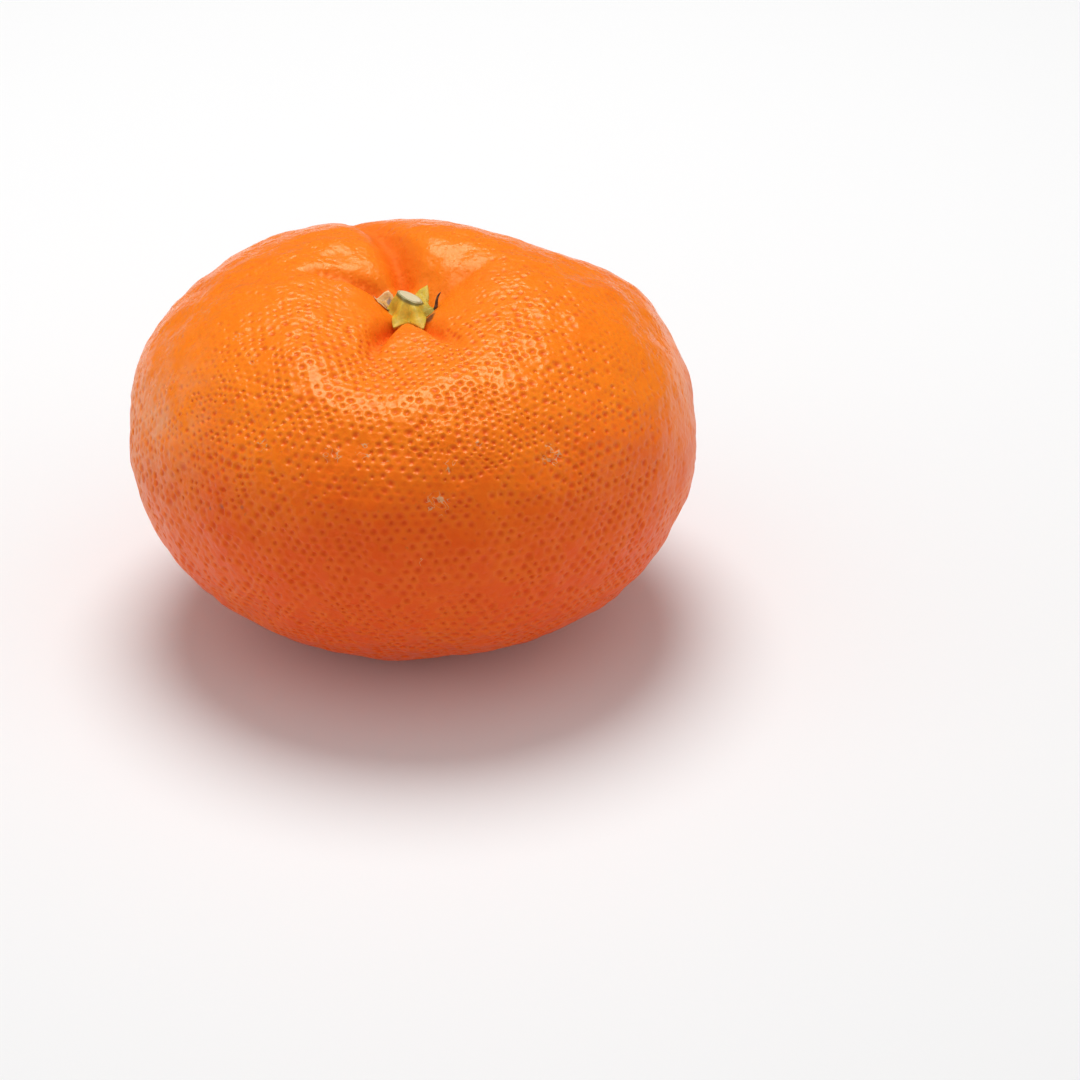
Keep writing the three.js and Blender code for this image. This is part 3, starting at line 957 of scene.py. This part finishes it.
def calyx_material(settings):
    s = Shader("yellowed calyx")
    outward = s.attribute("outward")
    rim = s.attribute("rim")
    green_side = s.near(STEM_FOOT + GREEN_SIDE["from_foot"], GREEN_SIDE["reach"])
    mottle = s.noise(0.9 * MM, 4, 0.6)
    colour = s.mix(mottle.smooth(0.35, 0.75) * 0.4, settings.calyx_colour, settings.calyx_green)
    colour = s.mix(green_side * 0.75, colour, settings.calyx_green)
    colour = s.mix(rim * 0.8, colour, BARK_COLOUR)
    colour = s.mix(s.attribute("crown"), colour, settings.wood_colour)
    colour = s.mix(outward.smooth(0.96, 1) * 0.5, colour, LOBE_TIP_COLOUR)
    specks = s.cells(0.7 * MM).smooth(0.2, 0.06) * s.noise(1.5 * MM).smooth(0.5, 0.6)
    colour = s.mix(specks * 0.6, colour, CALYX_SPECK_COLOUR)
    grain = s.noise(0.25 * MM, 3, 0.6) + s.noise(0.8 * MM, 2) * 0.8
    return s.principled(
        {
            "Base Color": colour,
            "Roughness": 0.5 + (mottle - 0.5) * 0.3,
            "Normal": s.bump(grain, 0.08 * MM),
            "Subsurface Weight": 0.1,
            "Subsurface Radius": (0.6, 0.5, 0.1),
            "Subsurface Scale": 0.6 * MM,
        }
    )


# ---- the cut stem end ----
STEM_END_GRAIN = {"size": 0.6 * MM, "height": 0.05 * MM, "seed": 8.0}
WOOD_BLOTCH_COLOUR = (0.5, 0.42, 0.2)
WOOD_EDGE_COLOUR = (0.3, 0.27, 0.1)
STEM_SIDE_COLOUR = (0.07, 0.08, 0.02)


def build_stem_end(settings):
    radius, height = STEM_END["radius"], STEM_END["height"]
    profile = [(0, 0), (radius, 0), (radius, 0.8 * height), (radius, 0.93 * height)]
    profile += [(0.965 * radius, 0.985 * height)]
    for share in (0.9, 0.75, 0.55, 0.35, 0.15, 0):
        profile.append((share * radius, height - STEM_END["dished"] * (1 - share)))
    mesh = finished(turned(profile, 96), "stem_end")
    points = read_places(mesh)
    x, y, level = points.T.copy()
    points[:, 2] += STEM_FOOT.z + CALYX_FLOOR + cut_lift(x, y, level / height)
    face = smoothstep(level, 0.85 * height, 0.95 * height)
    grain = wander(points, STEM_END_GRAIN["size"], STEM_END_GRAIN["seed"])
    points[:, 2] += face * STEM_END_GRAIN["height"] * grain
    write_places(mesh, points + np.array(STEM_AXIS))
    add_attribute(mesh, "across", np.hypot(x, y) / radius)
    add_attribute(mesh, "cut_face", face)
    add_piece(mesh, stem_end_material(settings), "stem_stub")


def stem_end_material(settings):
    s = Shader("cut stem")
    blotches = s.noise(0.5 * MM, 4, 0.6).smooth(0.3, 0.8)
    colour = s.mix(blotches * 0.4, settings.wood_colour, WOOD_BLOTCH_COLOUR)
    edge = s.attribute("across").smooth(0.86, 0.98)
    colour = s.mix(edge * 0.7, colour, WOOD_EDGE_COLOUR)
    colour = s.mix((1 - s.attribute("cut_face")) * 0.9, colour, STEM_SIDE_COLOUR)
    grain = s.noise(0.12 * MM, 2)
    return s.principled(
        {"Base Color": colour, "Roughness": 0.7, "Normal": s.bump(grain, 0.03 * MM)}
    )


# ---- the withered sepals ----
# The middle line of the tendril, from its foot on the peel, and the radius at each bend, in
# millimetres.
TENDRIL = (
    ((-0.6, 0.2, 0.1), 0.3),
    ((0.1, 0.05, 0.05), 0.34),
    ((0.45, 0.0, 0.45), 0.27),
    ((0.6, 0.1, 1.05), 0.21),
    ((0.68, 0.2, 1.65), 0.18),
    ((0.85, 0.3, 2.2), 0.14),
    ((1.15, 0.35, 2.65), 0.06),
)
TENDRIL_STREAK_COLOUR = (0.16, 0.085, 0.05)
SEPAL_PALE_COLOUR = (0.8, 0.5, 0.22)
SEPAL_RIM_COLOUR = (0.88, 0.66, 0.4)
SEPAL_BRUISE_COLOUR = (0.11, 0.06, 0.075)


def build_dry_tip(settings):
    x, y, _ = bearing(DRY_TIP_ROOT["azimuth"]) * DRY_TIP_ROOT["from"]
    root = np.array([x, y, peel_height(x, y)[0]])
    bends = np.array([bend for bend, _ in TENDRIL]) * MM
    radii = [radius * MM for _, radius in TENDRIL]
    bm = bmesh.new()
    bmesh.ops.create_cone(bm, segments=14, radius1=1, radius2=1, depth=1, cap_ends=True)
    uprights = [e for e in bm.edges if abs(e.verts[0].co.z - e.verts[1].co.z) > 0.5]
    bmesh.ops.subdivide_edges(bm, edges=uprights, cuts=48)
    knots = np.linspace(0, 1, len(bends))
    for vert in bm.verts:
        along = vert.co.z + 0.5
        at = spline(bends, along)
        ahead = Vector(spline(bends, min(along + 0.02, 1)) - spline(bends, max(along - 0.02, 0)))
        width = np.interp(along, knots, radii)
        width *= 1 + 0.15 * noise.noise(Vector((vert.co.x, vert.co.y, 9 * along)))
        flat = Vector((vert.co.x * width, vert.co.y * width * 0.75, 0))
        vert.co = Vector(root + at) + ahead.to_track_quat("Z", "Y") @ flat + STEM_AXIS
    mesh = finished(bm, "dry_sepal_tendril")
    add_piece(mesh, dry_tip_material(settings), "dry_sepal_tip")


def dry_tip_material(settings):
    s = Shader("dried tendril")
    streaks = s.noise(0.35 * MM, 3, 0.6)
    colour = s.mix(streaks.smooth(0.35, 0.7), settings.tip_colour, TENDRIL_STREAK_COLOUR)
    return s.principled(
        {"Base Color": colour, "Roughness": 0.55, "Normal": s.bump(streaks, 0.06 * MM)}
    )


def build_dry_sepal(settings):
    way = bearing(DRY_SEPAL["azimuth"])
    side = np.array([-way[1], way[0], 0])
    bm = bmesh.new()
    bmesh.ops.create_grid(bm, x_segments=30, y_segments=24, size=1)
    rim = bm.verts.layers.float.new("rim")
    for vert in bm.verts:
        u, v = vert.co.x, vert.co.y
        vert[rim] = max(abs(u), abs(v)) ** 6
        outline = math.sqrt(max(1 - 0.9 * abs(u) ** 2.4, 0.02)) * (1 - 0.18 * u)
        ragged = 1 + 0.1 * noise.noise(Vector((3 * u, 3 * v, 1.7)))
        out = DRY_SEPAL["from"] + (u + 1) / 2 * DRY_SEPAL["length"] * ragged
        aside = v * DRY_SEPAL["width"] / 2 * outline * ragged
        x, y, _ = way * out + side * aside
        curl = 0.35 - 0.1 * ((u + 1) / 2) ** 2 - 0.1 * v + 0.25 * v * v
        curl += 0.15 * noise.noise(Vector((2 * u, 2 * v, 0)))
        vert.co = Vector((x, y, peel_height(x, y)[0] + curl * MM)) + STEM_AXIS
    bmesh.ops.solidify(bm, geom=bm.faces, thickness=DRY_SEPAL_THICKNESS)
    bmesh.ops.recalc_face_normals(bm, faces=bm.faces)
    mesh = finished(bm, "papery_sepal")
    add_piece(mesh, dry_sepal_material(settings), "dry_sepal")


def dry_sepal_material(settings):
    s = Shader("papery sepal")
    mottle = s.noise(0.7 * MM, 4, 0.6)
    colour = s.mix(mottle.smooth(0.4, 0.75) * 0.4, settings.sepal_colour, SEPAL_PALE_COLOUR)
    colour = s.mix(s.attribute("rim") * 0.6, colour, SEPAL_RIM_COLOUR)
    blotches = s.noise(1.1 * MM, 2).smooth(0.45, 0.58)
    bruise = blotches * s.near(STEM_FOOT, 5.5 * MM).smooth(0.1, 0.4)
    colour = s.mix(bruise * 0.8, colour, SEPAL_BRUISE_COLOUR)
    return s.principled(
        {
            "Base Color": colour,
            "Roughness": 0.55,
            "Normal": s.bump(mottle, 0.08 * MM),
            "Subsurface Weight": 0.2,
            "Subsurface Radius": (1.0, 0.5, 0.2),
            "Subsurface Scale": 0.5 * MM,
        }
    )


# ---- the stage ----
FLOOR_HALF_WIDTH = 3
FLOOR_CLOUDS = {"size": 0.4, "darker": 0.97}
LIGHTS_AIM = Vector((0, 0, 0.03))
NEAREST = 0.05  # what is nearer to the camera isn't shown
FRAME_WIDTH = 141.7 * MM  # of what the camera takes in at the fruit
FRUIT_MIDDLE_HEIGHT = 25.5 * MM
LEFT_OF_MIDDLE = 16.53 * MM  # where the fruit stands in the frame
ABOVE_MIDDLE = 14.17 * MM
SENSOR = 36.0  # width in Blender's own unit for it, millimetres

# The soft lights: name, place, width and the setting for the power.
SOFTBOXES = (
    ("overhead", (-0.02, 0.2, 0.62), 0.4, "overhead_power"),
    ("left side", (-0.55, -0.12, 0.14), 0.3, "side_power"),
    ("right side", (0.55, -0.12, 0.14), 0.3, "side_power"),
)


def build_stage(settings):
    add_floor(settings)
    add_surround(settings)
    for name, place, size, power in SOFTBOXES:
        add_softbox(name, place, size, getattr(settings, power))
    add_camera(settings)
    bpy.context.scene.view_settings.view_transform = "Standard"


def add_floor(settings):
    bm = bmesh.new()
    bmesh.ops.create_grid(bm, x_segments=1, y_segments=1, size=FLOOR_HALF_WIDTH)
    mesh = finished(bm, "floor")
    s = Shader("pale floor")
    clouds = s.noise(FLOOR_CLOUDS["size"], 1)
    darker = tuple(FLOOR_CLOUDS["darker"] * c for c in settings.floor_colour)
    colour = s.mix(clouds, darker, settings.floor_colour)
    mesh.materials.append(s.principled({"Base Color": colour, "Roughness": 0.6}))
    floor = link_object("floor", mesh)


def add_surround(settings):
    """Lights the fruit from all round, and less from behind it."""
    s = Shader("white surround", "worlds")
    way = s.node("ShaderNodeTexCoord")["Generated"]
    behind = s.vector("DOT_PRODUCT", way, (0, 1, 0))["Value"].smooth(0.1, 0.8)
    strength = settings.surround * (1 - behind * (1 - settings.surround_behind))
    glow = s.node("ShaderNodeBackground", inputs={"Color": (1, 1, 1, 1), "Strength": strength})
    s.node("ShaderNodeOutputWorld", inputs={"Surface": glow["Background"]})
    bpy.context.scene.world = s.owner


def add_softbox(name, place, size, power):
    lamp = bpy.data.lights.new(name, "AREA")
    lamp.shape = "DISK"
    lamp.size = size
    lamp.energy = power
    light = link_object(name, lamp)
    light.location = place
    light.rotation_euler = (LIGHTS_AIM - Vector(place)).to_track_quat("-Z", "Y").to_euler()


def add_camera(settings):
    """Looks down along +Y, with the fruit to the left of the frame's middle and above it."""
    down = settings.camera_elevation
    ahead = Vector((0, math.cos(down), -math.sin(down)))
    right = Vector((1, 0, 0))
    up = right.cross(ahead)
    data = bpy.data.cameras.new("camera")
    data.lens = settings.camera_distance / FRAME_WIDTH * SENSOR
    data.sensor_width = SENSOR
    data.clip_start = NEAREST
    camera = link_object("camera", data)
    aim = Vector((0, 0, FRUIT_MIDDLE_HEIGHT)) + right * LEFT_OF_MIDDLE - up * ABOVE_MIDDLE
    camera.location = aim - ahead * settings.camera_distance
    camera.rotation_euler = (math.pi / 2 - down, 0, 0)
    bpy.context.scene.camera = camera


# ---- operators ----
class MANDARIN_OT_fruit(bpy.types.Operator):
    """Builds the fruit in its pitted peel"""

    bl_idname = "mandarin.fruit"
    bl_label = "Fruit"

    def execute(self, context):
        build_fruit(context.scene.mandarin_peel)
        return {"FINISHED"}


class MANDARIN_OT_calyx(bpy.types.Operator):
    """Builds the star-shaped calyx in the stem hollow"""

    bl_idname = "mandarin.calyx"
    bl_label = "Calyx"

    def execute(self, context):
        build_calyx(context.scene.mandarin_stem)
        return {"FINISHED"}


class MANDARIN_OT_stem_end(bpy.types.Operator):
    """Builds the cut end of the stem in the calyx's cup"""

    bl_idname = "mandarin.stem_end"
    bl_label = "Stem end"

    def execute(self, context):
        build_stem_end(context.scene.mandarin_stem)
        return {"FINISHED"}


class MANDARIN_OT_withered_sepals(bpy.types.Operator):
    """Builds the dried tendril and the papery scale beside the calyx"""

    bl_idname = "mandarin.withered_sepals"
    bl_label = "Withered sepals"

    def execute(self, context):
        build_dry_tip(context.scene.mandarin_stem)
        build_dry_sepal(context.scene.mandarin_stem)
        return {"FINISHED"}


class MANDARIN_OT_stage(bpy.types.Operator):
    """Lays the floor, and places the lights and the camera"""

    bl_idname = "mandarin.stage"
    bl_label = "Stage"

    def execute(self, context):
        build_stage(context.scene.mandarin_stage)
        return {"FINISHED"}


class MANDARIN_PT_panel(bpy.types.Panel):
    """The Mandarin tab of the 3D view's sidebar"""

    bl_idname = "MANDARIN_PT_panel"
    bl_label = "Mandarin"
    bl_space_type = "VIEW_3D"
    bl_region_type = "UI"
    bl_category = "Mandarin"

    def draw(self, context):
        for group in ("mandarin_peel", "mandarin_stem", "mandarin_stage"):
            settings = getattr(context.scene, group)
            box = self.layout.box()
            for name in settings.__annotations__:
                box.prop(settings, name)
        for operator in OPERATORS:
            self.layout.operator(operator.bl_idname)


SETTINGS = (MandarinPeelSettings, MandarinStemSettings, MandarinStageSettings)
OPERATORS = (
    MANDARIN_OT_fruit,
    MANDARIN_OT_calyx,
    MANDARIN_OT_stem_end,
    MANDARIN_OT_withered_sepals,
    MANDARIN_OT_stage,
)


def register():
    for kind in (*SETTINGS, *OPERATORS, MANDARIN_PT_panel):
        bpy.utils.register_class(kind)
    bpy.types.Scene.mandarin_peel = PointerProperty(type=MandarinPeelSettings)
    bpy.types.Scene.mandarin_stem = PointerProperty(type=MandarinStemSettings)
    bpy.types.Scene.mandarin_stage = PointerProperty(type=MandarinStageSettings)


def unregister():
    del bpy.types.Scene.mandarin_stage
    del bpy.types.Scene.mandarin_stem
    del bpy.types.Scene.mandarin_peel
    for kind in reversed((*SETTINGS, *OPERATORS, MANDARIN_PT_panel)):
        bpy.utils.unregister_class(kind)


def main():
    register()
    bpy.ops.mandarin.fruit()
    bpy.ops.mandarin.calyx()
    bpy.ops.mandarin.stem_end()
    bpy.ops.mandarin.withered_sepals()
    bpy.ops.mandarin.stage()


if __name__ == "__main__":
    main()
